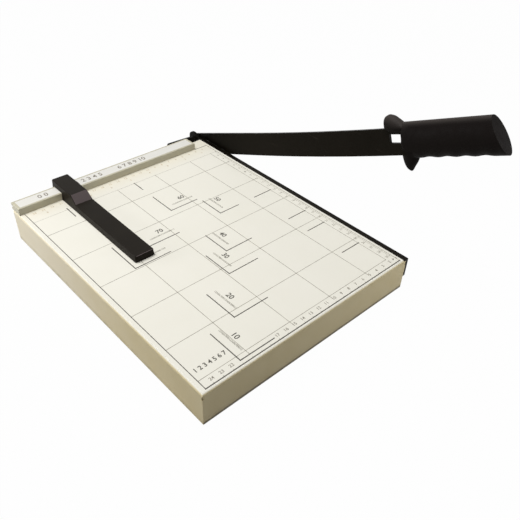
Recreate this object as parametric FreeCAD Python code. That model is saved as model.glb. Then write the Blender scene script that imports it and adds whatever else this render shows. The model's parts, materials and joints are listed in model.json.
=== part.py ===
import FreeCAD, Part
import math
import os

# A desk paper trimmer: a folded steel board on rubber feet, a fence along its back edge, a fixed
# blade down its right edge, a blade arm that swings on a bolt behind the back right corner, and a
# paper stop that slides along the fence.
#
# Lengths are millimetres, angles are degrees. Sizes are given in the board's own frame: x = 0 is
# the cutting plane and x grows to the right, y = 0 is the fence's front face and y grows to the
# back, z = 0 is the top of the board. At the end the whole part is moved, so that its origin is
# the middle of its footprint, on the surface that the feet stand on.

V = FreeCAD.Vector
X_AXIS = V(1, 0, 0)
Y_AXIS = V(0, 1, 0)
Z_AXIS = V(0, 0, 1)

# Cuts run this far past the faces that they open
overrun = 20.0

# Base shell, folded from one sheet
board_width = 254.5
board_depth = 305.0
wall_height = 35.3
sheet = 1.5
fold_radius = 2.2
back_corner_radius = 5.0
return_flange = 16.0
corner_relief = 1.0
corner_relief_height = 4.0

# Feet, pushed into the return flange
foot_radius = 6.5
foot_drop = 2.0
foot_stem_radius = 2.5
foot_barb_radius = 3.2
foot_barb_height = 2.0
foot_inset = 9.0
foot_hole_clearance = 0.1

# Stiffener welded under the board
stiffener_sheet = 1.2
stiffener_crown = 24.0
stiffener_height = 9.0
stiffener_flange = 10.0
stiffener_end_gap = 14.0

# Fixed blade, an angle that lies on the board's right edge with its lip let in flush
blade_top_width = 6.2
blade_lip = 0.8
blade_leg = 3.0
blade_fold_radius = 2.6
blade_inner_radius = 2.2
blade_flange_height = 23.0
blade_flange_corner = 2.5

# Its countersunk screws and the threaded bar behind the wall
blade_screw_count = 5
blade_screw_radius = 2.0
blade_screw_head_radius = 3.8
blade_screw_head_height = 2.0
blade_screw_sunk = 0.1
blade_screw_end_margin = 16.0
blade_screw_drop = 12.0
backing_bar_thickness = 3.0
backing_bar_height = 10.0
backing_bar_end_gap = 8.0
blade_screw_tail = 1.0
screw_clearance = 0.1

# Fence rail on the back edge
fence_left_gap = 1.1
fence_right_gap = 26.6
fence_depth = 17.5
fence_height = 8.0
fence_edge_radius = 0.8
fence_groove_depth = 2.2
fence_groove_height = 2.8
fence_groove_bottom = 2.2
label_margin = 3.0
label_border = 2.2
label_thickness = 0.4
label_recess = 0.5

# Fence screws, driven up through the board
fence_screw_count = 3
fence_screw_radius = 1.9
fence_screw_length = 7.0
fence_screw_head_radius = 3.6
fence_screw_head_height = 2.2
fence_screw_end_margin = 24.0

# Pivot bracket, a bent plate on the back wall
bracket_sheet = 3.0
bracket_length = 52.5
bracket_drop = 27.0
bracket_rise = 8.2
bracket_taper = 1.8
bracket_low = 1.0
bracket_low_length = 10.0
bracket_step_length = 5.0
bracket_corner_radius = 2.5
bracket_bend_radius = 2.0
ear_gap = 1.0
ear_top = 3.0
ear_shoulder = 5.0
ear_slope_length = 8.0
ear_back = 8.0
ear_below = 11.0
ear_top_radius = 7.0
ear_bottom_radius = 8.0
bracket_screw_pitch = 28.0
bracket_screw_margin = 12.0
bracket_screw_drop = 13.0
bracket_screw_radius = 2.5
bracket_head_across_flats = 8.0
bracket_head_height = 3.5
bracket_nut_height = 4.0
bracket_screw_tail = 1.5

# Pivot
pivot_back = 33.0
pivot_drop = 9.5
pivot_radius = 3.0
pivot_running_clearance = 0.05
pivot_across_flats = 10.0
pivot_head_height = 4.0
pivot_nut_height = 5.0
pivot_tail = 1.2
washer_radius = 6.0
washer_thickness = 1.2
washer_bore_clearance = 0.2
friction_washer_radius = 7.0
spring_washer_radius = 6.0
spring_washer_thickness = 1.2
spring_washer_cone = 0.8
arm_side_gap = 0.3

# Blade arm, drawn straight out from the pivot: s runs along it and h stands above its axis
arm_rest_angle = 21.55
arm_thickness = 3.0
arm_top = 8.7
arm_bottom = 17.2
arm_heel = 15.0
arm_straight = 120.0
arm_top_radius = 4440.0
arm_bottom_radius = 3700.0
arm_end = 331.5
arm_bevel = 2.0
tang_end_margin = 15.0
tang_bottom = 5.0
tang_top = 11.5
window_start = 314.8
window_length = 13.4
window_bottom = -0.4
window_height = 8.2

# Grip, moulded in a body on the right of the blade and a cover on its left
grip_start = 313.3
grip_length = 108.3
grip_axis_height = 1.25
grip_tilt = 3.0
grip_half_thickness = 7.95
grip_half_height = 16.4
grip_left_overhang = 6.0
grip_root = 19.5
grip_notch_end = 27.5
grip_notch_top = -6.2
grip_end_slant = 17.9
grip_cap_thickness = 2.5
grip_wave_count = 4
grip_wave_depth = 0.95
grip_wave_start = 32.1
grip_wave_length = 17.4
grip_sections_per_wave = 6
grip_cap_peg_radius = 2.2
grip_cap_peg_length = 7.0
grip_cap_peg_clearance = 0.1

# Hand guard, moulded on the grip body. Each row is one level of it, from below upwards: the level
# as a share of its height, its middle and half length as shares of its reach along the grip, and
# its middle and half width as shares of its width.
guard_reach = 36.0
guard_height = 53.0
guard_tip = 29.1
guard_width = 15.9
guard_levels_between_rows = 3
guard_hook_shares = [
    (0.0, 0.47, 0.02, 0.65, 0.04),
    (0.02, 0.467, 0.062, 0.65, 0.105),
    (0.07, 0.464, 0.12, 0.655, 0.19),
    (0.16, 0.497, 0.203, 0.66, 0.26),
    (0.29, 0.54, 0.267, 0.665, 0.285),
    (0.445, 0.595, 0.272, 0.57, 0.41),
    (0.6, 0.65, 0.247, 0.5, 0.49),
    (0.71, 0.65, 0.247, 0.5, 0.43),
    (0.785, 0.65, 0.24, 0.5, 0.33),
    (0.84, 0.65, 0.22, 0.5, 0.18),
    (0.855, 0.65, 0.2, 0.5, 0.05),
]
guard_knob_shares = [
    (0.71, 0.34, 0.27, 0.5, 0.30),
    (0.76, 0.31, 0.375, 0.5, 0.40),
    (0.83, 0.235, 0.31, 0.5, 0.40),
    (0.91, 0.175, 0.225, 0.5, 0.34),
    (0.97, 0.15, 0.14, 0.5, 0.22),
    (1.0, 0.145, 0.03, 0.5, 0.05),
]

# Grip screws
grip_screw_count = 3
grip_screw_first = 38.0
grip_screw_end_margin = 28.0
grip_screw_radius = 1.9
grip_screw_head_radius = 3.4
grip_screw_head_height = 2.4
grip_screw_sunk = 4.0
grip_screw_skin = 1.2

# Paper stop
stop_from_cut = 194.8
stop_reach = 142.0
stop_half_width = 10.75
stop_top_half_width = 9.5
stop_height = 15.0
stop_bar_height = 7.5
stop_board_gap = 0.3
stop_block_front = 20.0
stop_ramp_front = 29.0
stop_rear = 21.6
stop_rear_drop = 2.5
stop_clearance = 0.3
stop_lip = 1.9
stop_lip_clearance = 0.3
stop_edge_radius = 1.0
stop_corner_radius = 1.6

# Leaf spring that presses the stop's lip into the fence groove
spring_thickness = 0.4
spring_half_length = 7.0
spring_height = 4.5
spring_bottom = 1.6
spring_gap = 0.3
spring_pocket_depth = 2.0
spring_pocket_margin = 0.6

# Places that several pieces share
grip_end = grip_start + grip_length
tang_end = grip_end - tang_end_margin
left_face = -board_width
right_face = -blade_leg
front_face = -board_depth
back_face = fence_depth
wall_bottom = -wall_height
floor = wall_bottom - foot_drop
arm_left = arm_side_gap
arm_right = arm_left + arm_thickness
ear_right = -ear_gap
ear_left = ear_right - bracket_sheet
pivot = V(0, pivot_back, -pivot_drop)
fence_left = left_face + fence_left_gap
fence_right = -fence_right_gap
stop_middle = -stop_from_cut


def block(x0, x1, y0, y1, z0, z1):
    """A box between two values on each axis."""
    return Part.makeBox(x1 - x0, y1 - y0, z1 - z0, V(x0, y0, z0))


def rod_x(radius, x0, x1, y, z):
    """A round bar along X."""
    return Part.makeCylinder(radius, x1 - x0, V(x0, y, z), X_AXIS)


def rod_y(radius, x, y0, y1, z):
    """A round bar along Y."""
    return Part.makeCylinder(radius, y1 - y0, V(x, y0, z), Y_AXIS)


def rod_z(radius, x, y, z0, z1):
    """A round bar along Z."""
    return Part.makeCylinder(radius, z1 - z0, V(x, y, z0), Z_AXIS)


def hex_bar(across_flats, start, axis, length):
    """A hexagonal bar of one length along an axis from its start point."""
    corner = across_flats / math.sqrt(3)
    side = Z_AXIS.cross(axis) if abs(axis.z) < 0.5 else X_AXIS
    up = axis.cross(side)
    points = []
    for corner_number in range(6):
        turn = math.radians(60 * corner_number)
        points.append(start + side * (corner * math.cos(turn)) + up * (corner * math.sin(turn)))
    points.append(points[0])
    return Part.Face(Part.makePolygon(points)).extrude(axis * length)


def prism_x(outline, x0, x1):
    """A flat outline of (y, z) points, extruded along X."""
    points = [V(x0, y, z) for y, z in outline]
    points.append(points[0])
    return Part.Face(Part.makePolygon(points)).extrude(V(x1 - x0, 0, 0))


def prism_y(outline, y0, y1):
    """A flat outline of (x, z) points, extruded along Y."""
    points = [V(x, y0, z) for x, z in outline]
    points.append(points[0])
    return Part.Face(Part.makePolygon(points)).extrude(V(0, y1 - y0, 0))


def edges_near(shape, wanted):
    """The edges whose middle point passes a test of x, y and z."""
    found = []
    for edge in shape.Edges:
        middle = edge.valueAt((edge.FirstParameter + edge.LastParameter) / 2)
        if wanted(edge, middle):
            found.append(edge)
    return found


def runs_along(edge, axis):
    """Whether a straight edge is parallel to an axis."""
    if len(edge.Vertexes) < 2:
        return False
    span = edge.Vertexes[-1].Point - edge.Vertexes[0].Point
    return span.Length > 0 and abs(abs(span.normalize().dot(axis)) - 1) < 1e-6


def same(a, b):
    """Whether two places are equal to rounding."""
    return abs(a - b) < 1e-4 * sheet


def spread(first, last, count):
    """Evenly spaced places from first to last."""
    return [first + (last - first) * number / (count - 1) for number in range(count)]


def blade_screw_places():
    """The y of each fixed blade screw."""
    return spread(front_face + blade_screw_end_margin, back_face - blade_screw_end_margin, blade_screw_count)


def fence_screw_places():
    """The x of each fence screw."""
    return spread(fence_left + fence_screw_end_margin, fence_right - fence_screw_end_margin, fence_screw_count)


def bracket_screw_places():
    """The x of each bracket screw."""
    outer = ear_right - bracket_length + bracket_screw_margin
    return [outer, outer + bracket_screw_pitch]


def foot_places():
    """The name and centre of each foot."""
    left = left_face + foot_inset
    right = right_face - foot_inset
    front = front_face + foot_inset
    back = back_face - foot_inset
    return {
        "foot_front_left": (left, front),
        "foot_front_right": (right, front),
        "foot_back_left": (left, back),
        "foot_back_right": (right, back),
    }


def base_shell():
    """The folded board with its four walls and the flange turned in under them."""
    shell = block(left_face, right_face, front_face, back_face, wall_bottom, 0)
    upright = edges_near(
        shell,
        lambda edge, at: runs_along(edge, Z_AXIS) and same(at.x, left_face) and same(at.y, back_face),
    )
    shell = shell.makeFillet(back_corner_radius, upright)
    rim = edges_near(shell, lambda edge, at: same(at.z, 0) and not same(at.x, right_face))
    shell = shell.makeFillet(fold_radius, rim)

    rebate = block(-blade_top_width, overrun, front_face - overrun, back_face + overrun, -blade_lip, overrun)
    shell = shell.cut(rebate)
    blade_fold = edges_near(
        shell, lambda edge, at: runs_along(edge, Y_AXIS) and same(at.x, right_face) and same(at.z, -blade_lip)
    )
    shell = shell.makeFillet(blade_fold_radius, blade_fold)

    inner_left = left_face + sheet
    inner_front = front_face + sheet
    inner_back = back_face - sheet
    inner_bottom = wall_bottom + sheet
    joggle = -blade_top_width - sheet
    hollow = block(inner_left, joggle, inner_front, inner_back, inner_bottom, -sheet)
    corner = edges_near(
        hollow,
        lambda edge, at: runs_along(edge, Z_AXIS) and same(at.x, inner_left) and same(at.y, inner_back),
    )
    hollow = hollow.makeFillet(back_corner_radius - sheet, corner)
    under_blade = block(joggle, right_face - sheet, inner_front, inner_back, inner_bottom, -blade_lip - sheet)
    inner_fold = edges_near(
        under_blade,
        lambda edge, at: runs_along(edge, Y_AXIS) and same(at.x, right_face - sheet) and at.z > wall_bottom / 2,
    )
    under_blade = under_blade.makeFillet(blade_fold_radius - sheet, inner_fold)
    mouth = block(
        left_face + return_flange,
        right_face - return_flange,
        front_face + return_flange,
        back_face - return_flange,
        wall_bottom - overrun,
        inner_bottom + sheet,
    )
    shell = shell.cut(hollow.fuse(under_blade)).cut(mouth)

    for x in (left_face, right_face):
        inward = corner_relief if x == left_face else -corner_relief
        relief_top = -fold_radius
        shell = shell.cut(
            block(
                min(x, x + inward),
                max(x, x + inward),
                front_face,
                front_face + corner_relief,
                relief_top - corner_relief_height,
                relief_top,
            )
        )

    hole_radius = foot_stem_radius + foot_hole_clearance
    for x, y in foot_places().values():
        shell = shell.cut(rod_z(hole_radius, x, y, wall_bottom - overrun, inner_bottom + sheet))
    for y in blade_screw_places():
        hole = rod_x(
            blade_screw_radius + screw_clearance, right_face - 2 * sheet, right_face + overrun, y, -blade_screw_drop
        )
        shell = shell.cut(hole)
    for x in bracket_screw_places():
        hole = rod_y(
            bracket_screw_radius + screw_clearance, x, inner_back - sheet, back_face + overrun, -bracket_screw_drop
        )
        shell = shell.cut(hole)
    for x in fence_screw_places():
        shell = shell.cut(rod_z(fence_screw_radius + screw_clearance, x, fence_depth / 2, -2 * sheet, overrun))
    return shell.removeSplitter()


def foot(x, y):
    """A rubber foot with its stem and barb."""
    sole = rod_z(foot_radius, x, y, floor, wall_bottom)
    edge = edges_near(sole, lambda edge, at: same(at.z, floor))
    sole = sole.makeFillet(foot_drop / 4, edge)
    flange_top = wall_bottom + sheet
    stem = rod_z(foot_stem_radius, x, y, wall_bottom, flange_top)
    barb = Part.makeCone(foot_barb_radius, foot_stem_radius, foot_barb_height, V(x, y, flange_top), Z_AXIS)
    return sole.fuse([stem, barb]).removeSplitter()


def board_stiffener():
    """A hat-section rib under the middle of the board."""
    middle = (left_face + right_face) / 2
    top = -sheet
    half = stiffener_crown / 2
    wing = half + stiffener_flange
    low = top - stiffener_height
    outline = [
        (middle - wing, top),
        (middle - half + stiffener_sheet, top),
        (middle - half + stiffener_sheet, low + stiffener_sheet),
        (middle + half - stiffener_sheet, low + stiffener_sheet),
        (middle + half - stiffener_sheet, top),
        (middle + wing, top),
        (middle + wing, top - stiffener_sheet),
        (middle + half, top - stiffener_sheet),
        (middle + half, low),
        (middle - half, low),
        (middle - half, top - stiffener_sheet),
        (middle - wing, top - stiffener_sheet),
    ]
    return prism_y(outline, front_face + sheet + stiffener_end_gap, -stiffener_end_gap)


def blade_screw(y):
    """A countersunk screw through the fixed blade's flange, the wall and the backing bar."""
    face = -blade_screw_sunk
    tail = right_face - sheet - backing_bar_thickness - blade_screw_tail
    head = Part.makeCone(
        blade_screw_head_radius,
        blade_screw_radius,
        blade_screw_head_height,
        V(face, y, -blade_screw_drop),
        X_AXIS * -1,
    )
    shank = rod_x(blade_screw_radius, tail, face - blade_screw_head_height, y, -blade_screw_drop)
    return head.fuse(shank).removeSplitter()


def fixed_blade():
    """The angle whose outer top edge is the lower cutting edge."""
    lip = block(-blade_top_width, 0, front_face, back_face, -blade_lip, 0)
    flange = block(-blade_leg, 0, front_face, back_face, -blade_flange_height, 0)
    angle = lip.fuse(flange).removeSplitter()
    inside = edges_near(
        angle,
        lambda edge, at: runs_along(edge, Y_AXIS) and same(at.x, -blade_leg) and same(at.z, -blade_lip),
    )
    angle = angle.makeFillet(blade_inner_radius, inside)
    corner = edges_near(
        angle,
        lambda edge, at: runs_along(edge, X_AXIS) and same(at.z, -blade_flange_height) and same(at.y, front_face),
    )
    angle = angle.makeFillet(blade_flange_corner, corner)
    seat_depth = blade_screw_head_height + screw_clearance
    for y in blade_screw_places():
        seat = Part.makeCone(
            blade_screw_head_radius + screw_clearance,
            blade_screw_radius + screw_clearance,
            seat_depth,
            V(0, y, -blade_screw_drop),
            X_AXIS * -1,
        )
        hole = rod_x(blade_screw_radius + screw_clearance, -blade_leg - overrun, 0, y, -blade_screw_drop)
        angle = angle.cut(seat.fuse(hole))
    return angle


def backing_bar():
    """The threaded bar inside the right wall."""
    outer = right_face - sheet
    bar = block(
        outer - backing_bar_thickness,
        outer,
        front_face + sheet + backing_bar_end_gap,
        back_face - sheet - backing_bar_end_gap,
        -blade_screw_drop - backing_bar_height / 2,
        -blade_screw_drop + backing_bar_height / 2,
    )
    for y in blade_screw_places():
        hole = rod_x(blade_screw_radius + screw_clearance, outer - overrun, outer + overrun, y, -blade_screw_drop)
        bar = bar.cut(hole)
    return bar


def fence_rail():
    """The fence, with a recess for its strip on top and a guide groove in its back."""
    rail = block(fence_left, fence_right, 0, fence_depth, 0, fence_height)
    rim = edges_near(rail, lambda edge, at: same(at.z, fence_height))
    rail = rail.makeFillet(fence_edge_radius, rim)
    recess = block(
        fence_left + label_margin,
        fence_right - label_margin,
        label_border,
        fence_depth - label_border,
        fence_height - label_recess,
        fence_height + overrun,
    )
    groove = block(
        fence_left - overrun,
        fence_right + overrun,
        fence_depth - fence_groove_depth,
        fence_depth + overrun,
        fence_groove_bottom,
        fence_groove_bottom + fence_groove_height,
    )
    rail = rail.cut(recess).cut(groove)
    for x in fence_screw_places():
        pilot = rod_z(
            fence_screw_radius + screw_clearance, x, fence_depth / 2, 0, fence_screw_length - sheet + screw_clearance
        )
        rail = rail.cut(pilot)
    return rail


def fence_label():
    """The thin strip that lies in the fence's recess."""
    bottom = fence_height - label_recess
    return block(
        fence_left + label_margin,
        fence_right - label_margin,
        label_border,
        fence_depth - label_border,
        bottom,
        bottom + label_thickness,
    )


def fence_screw(x):
    """A pan-head screw driven up through the board into the fence."""
    y = fence_depth / 2
    head = rod_z(fence_screw_head_radius, x, y, -sheet - fence_screw_head_height, -sheet)
    edge = edges_near(head, lambda edge, at: same(at.z, -sheet - fence_screw_head_height))
    head = head.makeFillet(fence_screw_head_height / 3, edge)
    shank = rod_z(fence_screw_radius, x, y, -sheet, -sheet + fence_screw_length)
    return head.fuse(shank).removeSplitter()


def pivot_bracket():
    """The bent plate that is bolted to the back wall and carries the pivot in its ear."""
    left = ear_right - bracket_length
    low_left = ear_right - bracket_low_length
    outline = [
        (left, -bracket_drop),
        (ear_right, -bracket_drop),
        (ear_right, -bracket_low),
        (low_left, -bracket_low),
        (low_left - bracket_step_length, bracket_rise - bracket_taper),
        (left, bracket_rise),
    ]
    plate = prism_y(outline, back_face, back_face + bracket_sheet)
    corners = edges_near(plate, lambda edge, at: runs_along(edge, Y_AXIS) and same(at.x, left))
    plate = plate.makeFillet(bracket_corner_radius, corners)

    shoulder = back_face + ear_shoulder
    ear_rear = pivot.y + ear_back
    ear_foot = pivot.z - ear_below
    ear = prism_x(
        [
            (back_face, -bracket_low),
            (shoulder, -bracket_low),
            (shoulder + ear_slope_length, ear_top),
            (ear_rear, ear_top),
            (ear_rear, ear_foot),
            (back_face, ear_foot),
        ],
        ear_left,
        ear_right,
    )
    top_corner = edges_near(
        ear, lambda edge, at: runs_along(edge, X_AXIS) and same(at.y, ear_rear) and same(at.z, ear_top)
    )
    ear = ear.makeFillet(ear_top_radius, top_corner)
    bottom_corner = edges_near(
        ear, lambda edge, at: runs_along(edge, X_AXIS) and same(at.y, ear_rear) and same(at.z, ear_foot)
    )
    ear = ear.makeFillet(ear_bottom_radius, bottom_corner)
    bracket = plate.fuse(ear).removeSplitter()
    bend = edges_near(
        bracket,
        lambda edge, at: runs_along(edge, Z_AXIS)
        and same(at.x, ear_left)
        and same(at.y, back_face + bracket_sheet)
        and ear_foot < at.z < -bracket_low,
    )
    bracket = bracket.makeFillet(bracket_bend_radius, bend)
    bore = rod_x(pivot_radius + pivot_running_clearance, ear_left - overrun, ear_right + overrun, pivot.y, pivot.z)
    bracket = bracket.cut(bore)
    for x in bracket_screw_places():
        hole = rod_y(
            bracket_screw_radius + screw_clearance,
            x,
            back_face - overrun,
            back_face + overrun,
            -bracket_screw_drop,
        )
        bracket = bracket.cut(hole)
    return bracket


def bracket_screw(x):
    """A hexagon-head screw through the bracket and the back wall."""
    plate_back = back_face + bracket_sheet
    tip = back_face - sheet - bracket_nut_height - bracket_screw_tail
    head = hex_bar(
        bracket_head_across_flats, V(x, plate_back, -bracket_screw_drop), Y_AXIS, bracket_head_height
    )
    shank = rod_y(bracket_screw_radius, x, tip, plate_back, -bracket_screw_drop)
    return head.fuse(shank).removeSplitter()


def bracket_nut(x):
    """The nut of a bracket screw, inside the back wall."""
    inner_back = back_face - sheet
    start = V(x, inner_back - bracket_nut_height, -bracket_screw_drop)
    nut = hex_bar(bracket_head_across_flats, start, Y_AXIS, bracket_nut_height)
    bore = rod_y(
        bracket_screw_radius + screw_clearance,
        x,
        inner_back - bracket_nut_height - overrun,
        inner_back + overrun,
        -bracket_screw_drop,
    )
    return nut.cut(bore)


def ring_x(outer_radius, bore_radius, x0, x1):
    """A washer on the pivot, between two values of x."""
    ring = rod_x(outer_radius, x0, x1, pivot.y, pivot.z)
    return ring.cut(rod_x(bore_radius, x0 - overrun, x1 + overrun, pivot.y, pivot.z))


def pivot_stack():
    """The bolt, nut and washers, from the nut on the left to the head on the right."""
    bore = pivot_radius + washer_bore_clearance
    nut_right = ear_left - washer_thickness
    nut_left = nut_right - pivot_nut_height
    spring_left = arm_right + arm_side_gap
    spring_right = spring_left + spring_washer_thickness
    head_left = spring_right + washer_thickness

    shank = rod_x(pivot_radius, nut_left - pivot_tail, head_left, pivot.y, pivot.z)
    head = hex_bar(pivot_across_flats, V(head_left, pivot.y, pivot.z), X_AXIS, pivot_head_height)
    nut = hex_bar(pivot_across_flats, V(nut_left, pivot.y, pivot.z), X_AXIS, pivot_nut_height)
    nut_bore = rod_x(
        pivot_radius + pivot_running_clearance, nut_left - overrun, nut_right + overrun, pivot.y, pivot.z
    )
    cone = Part.makeCone(
        spring_washer_radius,
        spring_washer_radius - spring_washer_cone,
        spring_washer_thickness,
        V(spring_left, pivot.y, pivot.z),
        X_AXIS,
    )
    cone = cone.cut(rod_x(bore, spring_left - overrun, spring_right + overrun, pivot.y, pivot.z))
    return {
        "pivot_bolt": shank.fuse(head).removeSplitter(),
        "pivot_nut": nut.cut(nut_bore),
        "nut_washer": ring_x(washer_radius, bore, nut_right, ear_left),
        "friction_washer": ring_x(friction_washer_radius, bore, ear_right, arm_left - arm_side_gap),
        "spring_washer": cone,
        "head_washer": ring_x(washer_radius, bore, spring_right, head_left),
    }


def curve_rise(s, radius):
    """How far an edge of one radius has curved up from its straight part at a distance along the arm."""
    run = max(s - arm_straight, 0)
    return radius - math.sqrt(radius**2 - run**2)


def arm_upper(s):
    """The height of the arm's upper edge above its axis."""
    return arm_top + curve_rise(s, arm_top_radius)


def arm_lower(s):
    """The height of the arm's lower edge above its axis."""
    return curve_rise(s, arm_bottom_radius) - arm_bottom


def arm_point(s, h):
    """A point of the arm's left face, s along the arm and h above its axis."""
    return V(arm_left, -s, h)


def moving_blade():
    """The arm's steel plate: an eye at the pivot, the ground edge below and a tang inside the grip."""
    middle = (arm_straight + arm_end) / 2
    corners = [
        ("line", arm_point(0, arm_top), arm_point(arm_straight, arm_top)),
        (
            "arc",
            arm_point(arm_straight, arm_top),
            arm_point(middle, arm_upper(middle)),
            arm_point(arm_end, arm_upper(arm_end)),
        ),
        ("line", arm_point(arm_end, arm_upper(arm_end)), arm_point(arm_end, tang_top)),
        ("line", arm_point(arm_end, tang_top), arm_point(tang_end, tang_top)),
        ("line", arm_point(tang_end, tang_top), arm_point(tang_end, -tang_bottom)),
        ("line", arm_point(tang_end, -tang_bottom), arm_point(arm_end, -tang_bottom)),
        ("line", arm_point(arm_end, -tang_bottom), arm_point(arm_end, arm_lower(arm_end))),
        (
            "arc",
            arm_point(arm_end, arm_lower(arm_end)),
            arm_point(middle, arm_lower(middle)),
            arm_point(arm_straight, -arm_bottom),
        ),
        ("line", arm_point(arm_straight, -arm_bottom), arm_point(arm_heel, -arm_bottom)),
        ("line", arm_point(arm_heel, -arm_bottom), arm_point(0, -arm_top)),
        ("line", arm_point(0, -arm_top), arm_point(0, arm_top)),
    ]
    edges = []
    for kind, *points in corners:
        if kind == "line":
            edges.append(Part.LineSegment(*points).toShape())
        else:
            edges.append(Part.Arc(*points).toShape())
    plate = Part.Face(Part.Wire(edges)).extrude(V(arm_thickness, 0, 0))

    ground = edges_near(
        plate,
        lambda edge, at: same(at.x, arm_right)
        and at.z < -tang_bottom
        and -arm_end < at.y < -arm_heel
        and not runs_along(edge, Z_AXIS),
    )
    plate = plate.makeChamfer(arm_bevel, ground)
    eye = rod_x(arm_top, arm_left, arm_right, 0, 0)
    plate = plate.fuse(eye).removeSplitter()
    plate = plate.cut(
        rod_x(pivot_radius + pivot_running_clearance, arm_left - overrun, arm_right + overrun, 0, 0)
    )
    window = block(
        arm_left - overrun,
        arm_right + overrun,
        -window_start - window_length,
        -window_start,
        window_bottom,
        window_bottom + window_height,
    )
    return plate.cut(window)


def grip_frame(shape):
    """Moves a shape from the grip's own frame, u along it and w above its axis, to the arm's."""
    moved = shape.copy()
    moved.rotate(V(0, 0, 0), X_AXIS, -grip_tilt)
    moved.translate(V(0, -grip_start, grip_axis_height))
    return moved


def half_oval(side, place, half_width, height):
    """The half of an upright oval across the grip that lies above its axis, or below for side -1."""
    arc = Part.Arc(V(-side, 0, 0), V(0, 0, side), V(side, 0, 0)).toShape()
    matrix = FreeCAD.Matrix()
    matrix.scale(V(half_width, 1, height))
    matrix.move(place)
    return arc.transformGeometry(matrix)


def grip_section(u, bottom):
    """The closed outline of the grip at u: an oval whose lower half has a height of its own."""
    place = V(arm_left - grip_left_overhang + grip_half_thickness, -u, 0)
    upper = half_oval(1, place, grip_half_thickness, grip_half_height)
    lower = half_oval(-1, place, grip_half_thickness, bottom)
    return Part.Wire([upper, lower])


def grip_blank():
    """The whole grip as one solid, with finger waves along its underside."""
    wave_end = grip_wave_start + grip_wave_count * grip_wave_length
    step = grip_wave_length / grip_sections_per_wave
    places = [0]
    places += [grip_wave_start + step * number for number in range(grip_wave_count * grip_sections_per_wave + 1)]
    places.append(wave_end + 2 * grip_wave_length)
    sections = []
    for u in places:
        phase = 2 * math.pi * (u - grip_wave_start) / grip_wave_length
        inside = grip_wave_start <= u <= wave_end
        dip = grip_wave_depth * (1 - math.cos(phase)) / 2 if inside else 0
        sections.append(grip_section(u, grip_half_height - dip))
    return Part.makeLoft(sections, True, True)


def slanted(shape, slant, u):
    """Tips a shape drawn square to the grip, bottom outwards, and places it at u."""
    moved = shape.copy()
    moved.rotate(V(0, 0, 0), X_AXIS, -slant)
    moved.translate(V(0, -u, 0))
    return moved


def beyond(u, slant):
    """A block that holds everything further out than a slanted plane across the grip at u."""
    size = grip_length
    return slanted(block(-size, size, -2 * size, 0, -size, size), slant, u)


def guard_section(level, along, half_length, across, half_width):
    """One level of the hand guard: an oval that lies flat, given in shares."""
    matrix = FreeCAD.Matrix()
    matrix.scale(V(half_width * guard_width, half_length * guard_reach, 1))
    matrix.move(
        V(
            arm_left - grip_left_overhang + across * guard_width,
            -along * guard_reach,
            level * guard_height - guard_tip,
        )
    )
    circle = Part.Circle(V(0, 0, 0), Z_AXIS, 1).toShape()
    return Part.Wire([circle.transformGeometry(matrix)])


def smooth_rows(rows, steps):
    """The rows of a table with smoothly curving rows put in between, some steps from row to row."""
    levels = []
    for number in range(len(rows) - 1):
        before = rows[max(number - 1, 0)]
        start, end = rows[number], rows[number + 1]
        after = rows[min(number + 2, len(rows) - 1)]
        for step in range(steps):
            t = step / steps
            weights = (
                (-t + 2 * t**2 - t**3) / 2,
                (2 - 5 * t**2 + 3 * t**3) / 2,
                (t + 4 * t**2 - 3 * t**3) / 2,
                (t**3 - t**2) / 2,
            )
            columns = zip(before, start, end, after)
            levels.append([sum(w * value for w, value in zip(weights, column)) for column in columns])
    return levels + [rows[-1]]


def guard_part(rows):
    """A rounded part of the guard, built up level by level."""
    sections = [guard_section(*row) for row in smooth_rows(rows, guard_levels_between_rows)]
    return Part.makeLoft(sections, True, True)


def guard():
    """The hand guard: a hook that points down in front of the fingers, and a round knob above."""
    return [guard_part(guard_hook_shares), guard_part(guard_knob_shares)]


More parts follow.
